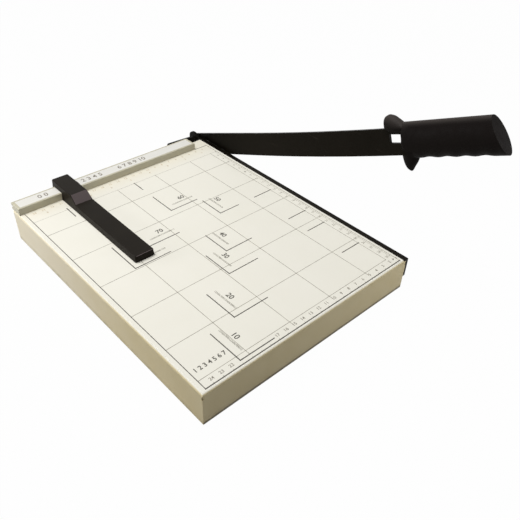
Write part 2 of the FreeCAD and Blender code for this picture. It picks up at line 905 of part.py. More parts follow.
def grip_pieces(blade):
    """The grip body, its cover and its end cap, in the arm's frame."""
    blank = grip_blank()
    cap_plane = beyond(grip_length - grip_cap_thickness, grip_end_slant)
    end_plane = beyond(grip_length, grip_end_slant)
    start_plane = beyond(grip_root, 0)

    cap = blank.common(cap_plane).cut(end_plane)
    handle = blank.cut(cap_plane).common(start_plane)
    peg_x = (arm_right + arm_left - grip_left_overhang + 2 * grip_half_thickness) / 2
    peg_start = -grip_length + grip_cap_thickness / 2
    peg_end = -grip_length + grip_cap_thickness + grip_cap_peg_length
    peg = rod_y(grip_cap_peg_radius, peg_x, peg_start, peg_end, 0)
    peg_hole = rod_y(
        grip_cap_peg_radius + grip_cap_peg_clearance,
        peg_x,
        peg_start,
        peg_end + grip_cap_peg_clearance,
        0,
    )
    cap = grip_frame(cap.fuse(peg).removeSplitter())
    whole = grip_frame(handle.cut(peg_hole).fuse(guard()))

    reach = 2 * grip_end
    split = -(grip_start + grip_notch_end)
    left_of_blade = block(-reach, arm_left, -reach, split, -reach, reach)
    notch = block(-reach, arm_left, split, reach, -reach, grip_notch_top)
    body = whole.cut([left_of_blade, notch, blade])
    cover = whole.common(left_of_blade)

    shank_tip = arm_left - grip_left_overhang + grip_screw_skin
    outer = arm_left - grip_left_overhang + 2 * grip_half_thickness
    head_seat = outer - grip_screw_sunk
    tang_middle = (tang_top - tang_bottom) / 2
    screws = []
    for u in spread(grip_screw_first, grip_length - grip_screw_end_margin, grip_screw_count):
        y = -(grip_start + u)
        hole = rod_x(grip_screw_radius + screw_clearance, shank_tip - screw_clearance, outer, y, tang_middle)
        seat = rod_x(grip_screw_head_radius + screw_clearance, head_seat, outer + overrun, y, tang_middle)
        body = body.cut(hole).cut(seat)
        cover = cover.cut(hole)
        blade = blade.cut(hole)
        shank = rod_x(grip_screw_radius, shank_tip, head_seat, y, tang_middle)
        head = rod_x(grip_screw_head_radius, head_seat, head_seat + grip_screw_head_height, y, tang_middle)
        screws.append(head.fuse(shank).removeSplitter())
    return {
        "moving_blade": blade,
        "grip_body": body,
        "grip_cover": cover,
        "grip_end_cap": cap,
        "grip_screws": Part.makeCompound(screws),
    }


def raised(shape):
    """Swings an arm piece up to its rest angle and moves it to the pivot."""
    moved = shape.copy()
    moved.rotate(V(0, 0, 0), X_AXIS, -arm_rest_angle)
    moved.translate(pivot)
    return moved


def on_stop_rim(edge, at):
    """Whether an edge of the stop bounds its top, leaving out the two folds of the ramp."""
    lowest = min(vertex.Point.z for vertex in edge.Vertexes)
    fold = runs_along(edge, X_AXIS) and -stop_ramp_front - sheet < at.y < stop_rear - sheet
    return lowest > stop_bar_height / 2 and not fold


def paper_stop():
    """The sliding stop: a bar over the board and a block that hooks over the fence."""
    left = stop_middle - stop_half_width
    right = stop_middle + stop_half_width
    outline = [
        (-stop_reach, stop_board_gap),
        (stop_rear, stop_board_gap),
        (stop_rear, stop_height),
        (-stop_block_front, stop_height),
        (-stop_ramp_front, stop_bar_height),
        (-stop_reach, stop_bar_height),
    ]
    side_view = prism_x(outline, left, right)
    end_view = prism_y(
        [
            (left, stop_board_gap),
            (right, stop_board_gap),
            (stop_middle + stop_top_half_width, stop_height),
            (stop_middle - stop_top_half_width, stop_height),
        ],
        -stop_reach,
        stop_rear,
    )
    body = side_view.common(end_view).removeSplitter()
    uprights = edges_near(
        body,
        lambda edge, at: (same(at.y, -stop_reach) or same(at.y, stop_rear))
        and not runs_along(edge, X_AXIS),
    )
    body = body.makeFillet(stop_corner_radius, uprights)
    body = body.makeFillet(stop_edge_radius, edges_near(body, on_stop_rim))

    leg = block(
        left + stop_corner_radius,
        right - stop_corner_radius,
        fence_depth + stop_clearance,
        stop_rear,
        -stop_rear_drop,
        stop_height / 2,
    )
    body = body.fuse(leg)
    channel = block(
        left - overrun,
        right + overrun,
        -stop_clearance,
        fence_depth + stop_clearance,
        -overrun,
        fence_height + stop_clearance,
    )
    pocket = block(
        stop_middle - spring_half_length - spring_pocket_margin,
        stop_middle + spring_half_length + spring_pocket_margin,
        -stop_clearance - spring_pocket_depth,
        0,
        spring_bottom - spring_pocket_margin,
        spring_bottom + spring_height + spring_pocket_margin,
    )
    lip = block(
        left + stop_corner_radius,
        right - stop_corner_radius,
        fence_depth + stop_clearance - stop_lip,
        fence_depth + stop_clearance,
        fence_groove_bottom + stop_lip_clearance,
        fence_groove_bottom + fence_groove_height - stop_lip_clearance,
    )
    return body.cut(channel).cut(pocket).fuse(lip).removeSplitter()


def stop_spring():
    """The bowed leaf between the stop's pocket and the fence's front face."""
    floor_y = -stop_clearance - spring_pocket_depth
    crest = -spring_gap
    left = stop_middle - spring_half_length
    right = stop_middle + spring_half_length
    z = spring_bottom
    edges = [
        Part.Arc(
            V(left, floor_y + spring_thickness, z), V(stop_middle, crest, z), V(right, floor_y + spring_thickness, z)
        ),
        Part.LineSegment(V(right, floor_y + spring_thickness, z), V(right, floor_y, z)),
        Part.Arc(V(right, floor_y, z), V(stop_middle, crest - spring_thickness, z), V(left, floor_y, z)),
        Part.LineSegment(V(left, floor_y, z), V(left, floor_y + spring_thickness, z)),
    ]
    return Part.Face(Part.Wire([edge.toShape() for edge in edges])).extrude(V(0, 0, spring_height))


def build():
    """Every piece by its node name, in the board's frame."""
    pieces = {
        "base_shell": base_shell(),
        "board_stiffener": board_stiffener(),
        "backing_bar": backing_bar(),
        "fixed_blade": fixed_blade(),
        "fixed_blade_screws": Part.makeCompound([blade_screw(y) for y in blade_screw_places()]),
        "fence_rail": fence_rail(),
        "fence_label": fence_label(),
        "fence_screws": Part.makeCompound([fence_screw(x) for x in fence_screw_places()]),
        "pivot_bracket": pivot_bracket(),
        "bracket_screws": Part.makeCompound([bracket_screw(x) for x in bracket_screw_places()]),
        "bracket_nuts": Part.makeCompound([bracket_nut(x) for x in bracket_screw_places()]),
        "paper_stop": paper_stop(),
        "stop_spring": stop_spring(),
    }
    for name, (x, y) in foot_places().items():
        pieces[name] = foot(x, y)
    pieces.update(pivot_stack())
    for name, shape in grip_pieces(moving_blade()).items():
        pieces[name] = raised(shape)
    return pieces


def footprint_middle(pieces):
    """The middle of the box round every piece, on the floor."""
    boxes = [shape.optimalBoundingBox(False, False) for shape in pieces.values()]
    x = (min(box.XMin for box in boxes) + max(box.XMax for box in boxes)) / 2
    y = (min(box.YMin for box in boxes) + max(box.YMax for box in boxes)) / 2
    return V(x, y, floor)


def main():
    os.makedirs("parts", exist_ok=True)
    pieces = build()
    origin = footprint_middle(pieces)
    for name, shape in pieces.items():
        shape.translate(origin * -1)
        shape.exportStep("parts/" + name + ".step")
        print(name, "valid" if shape.isValid() else "INVALID", len(shape.Solids), round(shape.Volume, 1))
    print("cutting corner at", V(0, 0, 0) - origin)
    print("pivot at", pivot - origin)


main()
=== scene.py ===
import json
import math

import bmesh
import bpy
from mathutils import Matrix, Vector


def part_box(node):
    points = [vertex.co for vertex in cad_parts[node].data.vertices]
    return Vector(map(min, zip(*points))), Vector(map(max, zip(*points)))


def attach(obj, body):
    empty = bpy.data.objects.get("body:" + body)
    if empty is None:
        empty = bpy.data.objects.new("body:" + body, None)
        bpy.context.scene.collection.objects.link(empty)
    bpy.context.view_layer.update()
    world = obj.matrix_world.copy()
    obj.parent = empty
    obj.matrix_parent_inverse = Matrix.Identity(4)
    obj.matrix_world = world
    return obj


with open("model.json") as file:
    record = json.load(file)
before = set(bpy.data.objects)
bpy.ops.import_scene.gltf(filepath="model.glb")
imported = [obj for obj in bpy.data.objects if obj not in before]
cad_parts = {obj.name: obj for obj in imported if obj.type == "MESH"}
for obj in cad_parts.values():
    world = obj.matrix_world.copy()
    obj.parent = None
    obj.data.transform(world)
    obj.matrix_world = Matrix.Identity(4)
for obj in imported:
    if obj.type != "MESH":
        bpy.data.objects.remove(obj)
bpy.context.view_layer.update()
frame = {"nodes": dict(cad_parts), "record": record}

# The looks of a desk paper trimmer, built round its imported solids: paint, moulded plastic and
# rubber on the solids themselves, a printed measuring grid on the board and numbers on the fence.
#
# Lengths in this script are millimetres, measured in the board's own frame: x = 0 is the cutting
# edge and x grows to the right, y = 0 is the fence's front face and y grows to the back, z = 0 is
# the board's top. The function at() turns such a place into the frame's metres.

MM = 0.001

# Where the board's own frame lies
blade_low, blade_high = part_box("fixed_blade")
rail_low, rail_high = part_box("fence_rail")
board_origin = Vector((blade_high.x, rail_low.y, rail_low.z))
wall_bottom = -35.3
arm_rest_angle = math.radians(21.55)

# Camera, placed by the printed grid
photo_side = 520
camera_place = (-420.7, -533.4, 357.1)
camera_heading = math.radians(43.93)
camera_dip = math.radians(38.80)
camera_roll = math.radians(2.37)
camera_focal_pixels = 594.2
sensor_width = 36.0


def at(x, y, z=0.0):
    """A place in the board's own millimetres as a point of the frame."""
    return board_origin + Vector((x, y, z)) * MM


def srgb(red, green, blue):
    """A screen colour, 0 to 255, as a linear colour with alpha."""
    shares = []
    for level in (red, green, blue):
        share = level / 255
        shares.append(share / 12.92 if share <= 0.04045 else ((share + 0.055) / 1.055) ** 2.4)
    return (*shares, 1.0)


# Materials

UPWARD = "Z"
LEFTWARD = (-1.0, 0.0, 0.0)
FRONTWARD = (0.0, -1.0, 0.0)
stop_ramp_facing = (0.0, -0.66, 0.75)

# Where the paints and the plastics change
top_band_depth = 0.4
# Painted light on the left wall, from its front to its back
painted_light_front = -250.0
painted_light_back = -20.0
# Where the top turns yellower and a little darker towards the fence
near_fence_front = -26.0
near_fence_back = 4.0
# How high the walls turn darker towards the bottom
bottom_darkening_height = 7.0
# Painted shade along the bottom edge of the front wall
painted_shade_full_height = 1.4
painted_shade_end_height = 3.6
# Painted shade on the black parts, darker towards the pivot at the back
painted_shade_pivot_front = -90.0
painted_shade_pivot_back = 10.0
edge_wear_start = -0.45
edge_wear_end = -0.15
# Where the painted sheen on the guard's knob lies
knob_length = 32.0
knob_full_length = 22.0
knob_height = 15.0
knob_full_height = 3.0


class Finish:
    """A node material that is put together step by step. Places are object coordinates."""

    def __init__(self, name, **surface):
        self.material = bpy.data.materials.new(name)
        self.material.use_nodes = True
        self.nodes = self.material.node_tree.nodes
        self.links = self.material.node_tree.links
        self.surface = self.nodes["Principled BSDF"]
        coordinates = self.nodes.new("ShaderNodeTexCoord")
        self.place = coordinates.outputs["Object"]
        self.facing = coordinates.outputs["Normal"]
        for socket, value in surface.items():
            self.surface.inputs[socket.replace("_", " ")].default_value = value

    def join(self, value, socket):
        """Links an output to a socket, or sets the socket to a plain value."""
        if isinstance(value, bpy.types.NodeSocket):
            self.links.new(value, socket)
        else:
            socket.default_value = value

    def math(self, operation, first, second=0.0, clamp=False):
        """The result of a math node."""
        node = self.nodes.new("ShaderNodeMath")
        node.operation = operation
        node.use_clamp = clamp
        self.join(first, node.inputs[0])
        self.join(second, node.inputs[1])
        return node.outputs[0]

    def gloss_level(self, level):
        """How strongly the surface mirrors, where one half is plain plastic."""
        self.surface.inputs["Specular IOR Level"].default_value = level

    def axis(self, vector, letter):
        """One part of a vector."""
        node = self.nodes.new("ShaderNodeSeparateXYZ")
        self.links.new(vector, node.inputs[0])
        return node.outputs[letter]

    def along(self, vector, direction):
        """How far a vector reaches along a direction."""
        node = self.nodes.new("ShaderNodeVectorMath")
        node.operation = "DOT_PRODUCT"
        self.links.new(vector, node.inputs[0])
        node.inputs[1].default_value = direction
        return node.outputs["Value"]

    def stretched(self, scale):
        """The object coordinates, stretched by a scale on each axis."""
        node = self.nodes.new("ShaderNodeMapping")
        self.links.new(self.place, node.inputs["Vector"])
        node.inputs["Scale"].default_value = scale
        return node.outputs[0]

    def noise(self, size, detail=2.0, vector=None):
        """Cloudy noise whose blotches are about one size in millimetres."""
        node = self.nodes.new("ShaderNodeTexNoise")
        self.links.new(vector or self.place, node.inputs["Vector"])
        node.inputs["Scale"].default_value = 1 / (size * MM)
        node.inputs["Detail"].default_value = detail
        return node.outputs["Fac"]

    def grains(self, size):
        """Small rounded grains of one size in millimetres."""
        node = self.nodes.new("ShaderNodeTexVoronoi")
        self.links.new(self.place, node.inputs["Vector"])
        node.inputs["Scale"].default_value = 1 / (size * MM)
        return node.outputs["Distance"]

    def step(self, value, start, end, low=0.0, high=1.0):
        """A smooth step from low to high while the value goes from start to end."""
        node = self.nodes.new("ShaderNodeMapRange")
        node.interpolation_type = "SMOOTHSTEP"
        self.join(value, node.inputs["Value"])
        node.inputs["From Min"].default_value = start
        node.inputs["From Max"].default_value = end
        node.inputs["To Min"].default_value = low
        node.inputs["To Max"].default_value = high
        return node.outputs["Result"]

    def mixed(self, share, first, second):
        """Two colours mixed by a share."""
        node = self.nodes.new("ShaderNodeMix")
        node.data_type = "RGBA"
        self.join(share, node.inputs["Factor"])
        self.join(first, node.inputs["A"])
        self.join(second, node.inputs["B"])
        return node.outputs["Result"]

    def colour(self, value):
        self.join(value, self.surface.inputs["Base Color"])

    def roughness(self, value):
        self.join(value, self.surface.inputs["Roughness"])

    def metal(self, value):
        self.join(value, self.surface.inputs["Metallic"])

    def bump(self, height, strength, depth):
        """Raises the surface by a height pattern, whose full depth is in millimetres."""
        node = self.nodes.new("ShaderNodeBump")
        node.inputs["Strength"].default_value = strength
        node.inputs["Distance"].default_value = depth * MM
        self.links.new(height, node.inputs["Height"])
        previous = self.surface.inputs["Normal"].links
        if previous:
            self.links.new(previous[0].from_socket, node.inputs["Normal"])
        self.links.new(node.outputs["Normal"], self.surface.inputs["Normal"])


def board_paint():
    """Cream enamel, whiter on the board's top and darker, warmer on the walls; painted light whitens the left
    wall towards its back, and painted shade darkens the bottom edge of the front wall.
    """
    finish = Finish("board_paint", IOR=1.45)
    top = at(0, 0, -top_band_depth).z
    up = finish.step(finish.axis(finish.facing, UPWARD), 0.6, 0.97)
    height = finish.axis(finish.place, UPWARD)
    on_top = finish.math("MULTIPLY", up, finish.step(height, top - MM, top))
    cloud = finish.noise(38, 3)
    wall = finish.mixed(cloud, srgb(221, 205, 160), srgb(227, 212, 170))
    # Painted light: the left wall turns whiter towards the back, where the lamp at the back left falls on it.
    left_side = finish.step(finish.along(finish.facing, LEFTWARD), 0.6, 0.9)
    depth = finish.axis(finish.place, "Y")
    painted_light_left_wall = finish.step(depth, at(0, painted_light_front).y, at(0, painted_light_back).y, 0.0, 0.85)
    painted_light_left_wall = finish.math("MULTIPLY", painted_light_left_wall, left_side)
    wall = finish.mixed(painted_light_left_wall, wall, srgb(226, 217, 195))
    # The walls turn darker towards the bottom, in patches.
    bottom_darkening_top = at(0, 0, wall_bottom + bottom_darkening_height).z
    bottom_darkening = finish.step(height, at(0, 0, wall_bottom).z, bottom_darkening_top, 1.0, 0.0)
    patches = finish.step(finish.noise(9, 4), 0.35, 0.75, 0.1, 0.6)
    bottom_darkening = finish.math("MULTIPLY", bottom_darkening, patches)
    wall = finish.mixed(bottom_darkening, wall, srgb(158, 146, 112))
    # Painted shade: a dark line along the bottom edge of the front wall, which lies in shade.
    painted_shade_edge_start = at(0, 0, wall_bottom + painted_shade_full_height).z
    painted_shade_edge_end = at(0, 0, wall_bottom + painted_shade_end_height).z
    painted_shade_bottom_edge = finish.step(height, painted_shade_edge_start, painted_shade_edge_end, 0.85, 0.0)
    front_side = finish.step(finish.along(finish.facing, FRONTWARD), 0.1, 0.4)
    wall = finish.mixed(finish.math("MULTIPLY", painted_shade_bottom_edge, front_side), wall, srgb(92, 82, 60))
    # The board's top, whiter than the walls
    top_colour = finish.mixed(cloud, srgb(240, 237, 224), srgb(245, 242, 231))
    # The top turns yellower and a little darker towards the fence.
    near_fence_tint = finish.step(depth, at(0, near_fence_front).y, at(0, near_fence_back).y, 0.0, 0.45)
    top_colour = finish.mixed(near_fence_tint, top_colour, srgb(238, 229, 205))
    specks = finish.step(finish.noise(1.1, 1), 0.74, 0.80, 0.0, 0.35)
    top_colour = finish.mixed(specks, top_colour, srgb(216, 209, 188))
    finish.colour(finish.mixed(on_top, wall, top_colour))
    finish.gloss_level(0.32)
    finish.roughness(finish.step(finish.noise(14, 3), 0.3, 0.7, 0.48, 0.58))
    finish.bump(finish.noise(1.3, 2), 0.10, 0.05)
    finish.bump(finish.noise(26, 1), 0.08, 0.4)
    return finish.material


def ink(name, full, faded, blotch):
    """Screen-printed ink that is a little thin in places."""
    finish = Finish(name, Roughness=0.55)
    thin = finish.step(finish.noise(blotch, 4), 0.35, 0.7)
    finish.colour(finish.mixed(thin, full, faded))
    finish.bump(finish.noise(0.5, 2), 0.2, 0.02)
    return finish.material


def black_paint():
    """Semi-gloss black enamel on the arm, the fixed blade and the bracket, with bare ground edges and painted
    shade that darkens it towards the pivot.
    """
    finish = Finish("black_paint", IOR=1.45)
    finish.gloss_level(0.04)
    cloud = finish.noise(24, 3)
    enamel = finish.mixed(cloud, srgb(19, 16, 11), srgb(27, 23, 17))
    depth = finish.axis(finish.place, "Y")
    # Painted shade: darker towards the pivot at the back.
    painted_shade_near_pivot = finish.step(depth, at(0, painted_shade_pivot_front).y, at(0, painted_shade_pivot_back).y, 0.0, 0.8)
    enamel = finish.mixed(painted_shade_near_pivot, enamel, srgb(9, 8, 5))
    rubs = finish.noise(3, 5, finish.stretched((1.0, 0.08, 1.0)))
    scratches = finish.step(rubs, 0.66, 0.74, 0.0, 0.25)
    enamel = finish.mixed(scratches, enamel, srgb(62, 57, 50))
    down = Vector((0, -math.sin(arm_rest_angle), -math.cos(arm_rest_angle)))
    bevel = (Vector((1, 0, 0)) + down).normalized()
    ground = finish.step(finish.along(finish.facing, bevel), 0.955, 0.985)
    width = finish.axis(finish.place, "X")
    near_cut = finish.step(width, at(edge_wear_start, 0).x, at(edge_wear_end, 0).x)
    flat_up = finish.step(finish.axis(finish.facing, UPWARD), 0.9, 0.99)
    worn = finish.math("MULTIPLY", near_cut, flat_up)
    patches = finish.step(finish.noise(7, 4), 0.45, 0.75, 0.0, 0.5)
    worn = finish.math("MULTIPLY", worn, patches)
    bare = finish.math("MAXIMUM", ground, worn)
    lines = finish.noise(0.7, 2, finish.stretched((1.0, 1.0, 0.05)))
    steel = finish.mixed(lines, srgb(150, 150, 148), srgb(196, 196, 193))
    finish.colour(finish.mixed(bare, enamel, steel))
    finish.metal(bare)
    finish.roughness(finish.step(finish.noise(10, 4), 0.3, 0.75, 0.30, 0.42))
    finish.bump(finish.noise(1.6, 2), 0.12, 0.05)
    return finish.material


def moulded(name, dark, light, low_gloss, high_gloss, grain, grain_depth, level, painted_sheen=None):
    """Moulded plastic with a fine eroded grain, and a paler area of painted sheen where one is given."""
    finish = Finish(name, IOR=1.46)
    finish.gloss_level(level)
    cloud = finish.noise(18, 4)
    colour = finish.mixed(cloud, dark, light)
    # A paler painted sheen on the area that the mask gives
    if painted_sheen:
        mask, pale = painted_sheen
        colour = finish.mixed(mask(finish), colour, pale)
    dust = finish.step(finish.noise(0.9, 3), 0.66, 0.78, 0.0, 0.22)
    finish.colour(finish.mixed(dust, colour, light))
    finish.roughness(finish.step(finish.noise(7, 4), 0.3, 0.75, low_gloss, high_gloss))
    finish.bump(finish.grains(grain), 0.35, grain_depth)
    finish.bump(finish.noise(30, 1), 0.1, 0.5)
    return finish.material


def stop_ramp_mask(finish):
    """One on the stop's sloping front, where a paler painted sheen stands in for the light it reflects."""
    return finish.step(finish.along(finish.facing, stop_ramp_facing), 0.91, 0.96)


def grip_sheen_mask(finish):
    """One on the guard's knob and along the grip's top, where a paler painted sheen stands in for a soft
    highlight.
    """
    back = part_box("grip_body")[1].y
    off_arm = Vector((0, math.sin(arm_rest_angle), math.cos(arm_rest_angle)))
    corners = frame["nodes"]["grip_body"].data.vertices
    tip = max(off_arm.dot(corner.co) for corner in corners if corner.co.y > back - knob_length * MM)
    level = finish.along(finish.place, off_arm)
    high = finish.step(level, tip - knob_height * MM, tip - knob_full_height * MM)
    depth = finish.axis(finish.place, "Y")
    near = finish.step(depth, back - knob_length * MM, back - knob_full_length * MM)
    upward = finish.step(finish.axis(finish.facing, UPWARD), -0.3, 0.8)
    knob = finish.math("MULTIPLY", finish.math("MULTIPLY", high, near), upward)
    ridge = finish.step(finish.axis(finish.facing, UPWARD), 0.4, 0.9)
    off_end_face = finish.step(finish.along(finish.facing, FRONTWARD), 0.3, 0.6, 1.0, 0.0)
    ridge = finish.math("MULTIPLY", ridge, off_end_face)
    return finish.math("MAXIMUM", knob, ridge)


def label_film():
    """Printed film on the fence's top, off-white with faint fibres."""
    finish = Finish("label_film")
    fibres = finish.noise(2.2, 5, finish.stretched((0.15, 1.0, 1.0)))
    paper = finish.mixed(fibres, srgb(224, 222, 214), srgb(235, 233, 227))
    dust = finish.step(finish.noise(1.4, 3), 0.66, 0.76, 0.0, 0.3)
    finish.colour(finish.mixed(dust, paper, srgb(205, 200, 186)))
    finish.roughness(finish.step(finish.noise(5, 3), 0.3, 0.7, 0.38, 0.52))
    finish.bump(fibres, 0.08, 0.04)
    return finish.material


def plated(name, dark, light, rough):
    """Plated or blued steel with fine drawing marks and small tarnished spots."""
    finish = Finish(name, Metallic=1.0)
    marks = finish.noise(1.2, 4, finish.stretched((0.1, 1.0, 1.0)))
    metal = finish.mixed(marks, dark, light)
    tarnish = finish.step(finish.noise(3.5, 4), 0.58, 0.72, 0.0, 0.5)
    finish.colour(finish.mixed(tarnish, metal, dark))
    finish.roughness(finish.step(marks, 0.2, 0.8, rough, rough + 0.16))
    finish.bump(marks, 0.15, 0.03)
    return finish.material


def rubber():
    """Matt black rubber with a dusty bloom."""
    finish = Finish("foot_rubber")
    finish.gloss_level(0.3)
    bloom = finish.step(finish.noise(4, 4), 0.4, 0.75, 0.0, 0.6)
    finish.colour(finish.mixed(bloom, srgb(20, 19, 18), srgb(44, 42, 40)))
    finish.roughness(finish.step(bloom, 0.0, 1.0, 0.72, 0.88))
    finish.bump(finish.grains(0.6), 0.4, 0.06)
    return finish.material


def node_materials():
    """The material of each slot of the record."""
    return {
        "board_paint": board_paint(),
        "plated_steel": plated("plated_steel", srgb(138, 140, 142), srgb(186, 188, 190), 0.30),
        "screw_steel": plated("screw_steel", srgb(120, 121, 122), srgb(178, 179, 180), 0.26),
        "black_steel": plated("black_steel", srgb(16, 15, 14), srgb(44, 41, 38), 0.38),
        "spring_steel": plated("spring_steel", srgb(62, 64, 72), srgb(108, 110, 118), 0.28),
        "fence_plastic": moulded(
            "fence_plastic", srgb(190, 184, 160), srgb(202, 197, 176), 0.36, 0.48, 0.7, 0.03, 0.5
        ),
        "label_film": label_film(),
        "black_paint": black_paint(),
        "stop_plastic": moulded(
            "stop_plastic", srgb(26, 22, 17), srgb(34, 30, 24), 0.30, 0.42, 0.55, 0.04, 0.06,
            # Paler painted sheen on the stop's ramp
            (stop_ramp_mask, srgb(92, 83, 83)),
        ),
        "grip_plastic": moulded(
            "grip_plastic", srgb(12, 8, 7), srgb(20, 15, 13), 0.46, 0.58, 0.75, 0.09, 0.06,
            # Paler painted sheen on the guard's knob and the grip's top
            (grip_sheen_mask, srgb(60, 55, 52)),
        ),
        "foot_rubber": rubber(),
    }


def dress_solids(materials):
    """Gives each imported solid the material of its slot."""
    for part in frame["record"]["subparts"]:
        solid = frame["nodes"][part["node"]]
        solid.data.materials.clear()
        solid.data.materials.append(materials[part["material_slot"]])


# Print

print_height = 0.04
print_sunk = 0.01
weld_distance = 0.0004

frame_line = 0.75
front_line = 1.1
mark_line = 1.05
grid_line = 0.6
ruler_line = 0.55
tick_line = 0.32

print_left = -248.4
print_front = -301.4
print_right = -9.2
print_back = -0.6
fence_end = -26.6
ruler_right = -18.8
ruler_front = -291.9
ruler_back = -20.6
grid_step = 50.0
centimetre = 10.0
inch = 25.4
front_count = 24
front_gap = range(18, 22)
side_count = 29
inch_count = 9
long_tick = 4.6
short_tick = 1.5
numeral_size = 4.6
numeral_weight = 0.06
side_numeral_size = 3.9
back_numeral_size = 4.2
front_numeral_row = -296.4
side_numeral_row = -14.2
back_centimetre_row = -5.6
back_inch_row = -12.2
numeral_side_step = 1.4

# Each corner mark is the far corner of a sheet laid in the back right corner: its width, its depth
# and the lengths of its two strokes
corner_marks = (
    (210, 297, 37.0, 37.5),
    (182, 257, 38.5, 37.5),
    (148, 210, 35.3, 34.5),
    (128, 182, 32.5, 32.5),
    (91, 128, 25.0, 30.5),
    (128, 91, 34.0, 34.0),
    (182, 128, 36.8, 34.0),
    (210, 148, 40.0, 41.0),
)
dash_depths = (128, 182, 210, 257)
dash_start = -42.6
dash_end = -18.2
back_dashes = ((-128, -19.6, -37.2), (-210, -17.6, -36.6))
small_row_gap = 8.2
small_row_start = 3.5
small_row_size = 2.7
small_row_weight = 0.08
small_row_pitch = 1.65
mark_number_size = 7.8
mark_number_step = 10
upright_turn = -math.pi / 2
mark_number_weight = 0.14
mark_number_gap = 14.4
mark_number_along = 23.0
front_text_place = (-229.0, -282.4)
front_text_size = 6.2
front_text = "1 2 3 4 5 6 7"
second_line_gap = 1.9
pointer_place = (-11.2, -296.0)
pointer_size = 2.4


def add_bar(mesh, start, end, width, bottom=-print_sunk, top=print_height):
    """Adds a thin closed bar between two (x, y) places of the board."""
    start = Vector(start)
    end = Vector(end)
    along = (end - start).normalized()
    side = Vector((-along.y, along.x)) * (width / 2)
    tip = along * (width / 2)
    corners = [start - tip - side, end + tip - side, end + tip + side, start - tip + side]
    low = [mesh.verts.new(at(corner.x, corner.y, bottom)) for corner in corners]
    high = [mesh.verts.new(at(corner.x, corner.y, top)) for corner in corners]
    mesh.faces.new(low[::-1])
    mesh.faces.new(high)
    for number in range(len(corners)):
        following = (number + 1) % len(corners)
        mesh.faces.new((low[number], low[following], high[following], high[number]))


def add_numerals(
    mesh, text, x, y, size, turn=0.0, bottom=-print_sunk, top=print_height, weight=0.0
):
    """Adds numerals as thin closed solids, centred on a place of the board."""
    curve = bpy.data.curves.new("numerals", "FONT")
    curve.body = text
    curve.size = size * MM
    curve.align_x = "CENTER"
    curve.align_y = "CENTER"
    curve.resolution_u = 3
    curve.offset = weight * MM
    curve.extrude = (top - bottom) / 2 * MM
    holder = bpy.data.objects.new("numerals", curve)
    bpy.context.scene.collection.objects.link(holder)
    bpy.context.view_layer.update()
    shape = bpy.data.meshes.new_from_object(holder.evaluated_get(bpy.context.evaluated_depsgraph_get()))
    placing = Matrix.Translation(at(x, y, (top + bottom) / 2)) @ Matrix.Rotation(turn, 4, "Z")
    shape.transform(placing)
    mesh.from_mesh(shape)
    bpy.data.objects.remove(holder)
    bpy.data.curves.remove(curve)
    bpy.data.meshes.remove(shape)


def piece(name, mesh, material, body):
    """Turns a bmesh into a named piece that rides on a body."""
    bmesh.ops.remove_doubles(mesh, verts=mesh.verts, dist=weld_distance * MM)
    bmesh.ops.recalc_face_normals(mesh, faces=mesh.faces)
    data = bpy.data.meshes.new(name)
    mesh.to_mesh(data)
    mesh.free()
    for face in data.polygons:
        face.use_smooth = False
    thing = bpy.data.objects.new(name, data)
    bpy.context.scene.collection.objects.link(thing)
    data.materials.append(material)
    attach(thing, body)


def print_frame():
    """The dark lines: the outer frame, the corner marks and the dashes."""
    mesh = bmesh.new()
    add_bar(mesh, (print_left, print_back), (print_left, print_front), frame_line)
    add_bar(mesh, (print_left, print_front), (print_right, print_front), front_line)
    add_bar(mesh, (fence_end, print_back), (print_right, print_back), frame_line)
    for width, depth, across, back in corner_marks:
        add_bar(mesh, (-width, -depth), (-width + across, -depth), mark_line)
        add_bar(mesh, (-width, -depth), (-width, -depth + back), mark_line)
    for depth in dash_depths:
        add_bar(mesh, (dash_start, -depth), (dash_end, -depth), mark_line)
    for x, start, end in back_dashes:
        add_bar(mesh, (x, start), (x, end), mark_line)
    return mesh


def print_grid():
    """The pale 50 mm grid and the lines of the rulers."""
    mesh = bmesh.new()
    add_bar(mesh, (print_left, ruler_front), (ruler_right, ruler_front), ruler_line)
    add_bar(mesh, (ruler_right, ruler_front), (ruler_right, ruler_back), ruler_line)
    add_bar(mesh, (print_right, print_front), (print_right, print_back), ruler_line)
    add_bar(mesh, (print_left, ruler_back), (print_right, ruler_back), tick_line)
    second = print_right - second_line_gap
    add_bar(mesh, (second, ruler_front), (second, ruler_back), tick_line)
    column = -grid_step
    while column > print_left:
        add_bar(mesh, (column, ruler_back), (column, ruler_front - long_tick), grid_line)
        column -= grid_step
    row = -grid_step
    while row > ruler_front:
        add_bar(mesh, (print_left, row), (ruler_right + long_tick, row), grid_line)
        row -= grid_step
    return mesh


def print_rulers():
    """The numbers and small ticks along the front edge and the blade."""
    mesh = bmesh.new()
    for number in range(1, front_count + 1):
        x = -number * centimetre
        if number not in front_gap:
            x_middle = x + numeral_side_step
            add_numerals(mesh, str(number), x_middle, front_numeral_row, numeral_size, weight=numeral_weight)
        add_bar(mesh, (x, print_front), (x, print_front + short_tick), tick_line)
    for number in range(1, side_count + 1):
        y = -number * centimetre
        if y < ruler_back:
            add_numerals(mesh, str(number), side_numeral_row, y, side_numeral_size)
        add_bar(mesh, (print_right, y), (print_right - short_tick, y), tick_line)
        middle = y + centimetre / 2
        add_bar(mesh, (print_right, middle), (print_right - short_tick / 2, middle), tick_line)
    return mesh


def print_faint():
    """The worn brown numbers next to the fence."""
    mesh = bmesh.new()
    for number in range(1, front_count + 1):
        x = -number * centimetre
        add_numerals(mesh, str(number), x, back_centimetre_row, back_numeral_size)
    for number in range(1, inch_count + 1):
        add_numerals(mesh, str(number), -number * inch, back_inch_row, back_numeral_size)
    return mesh


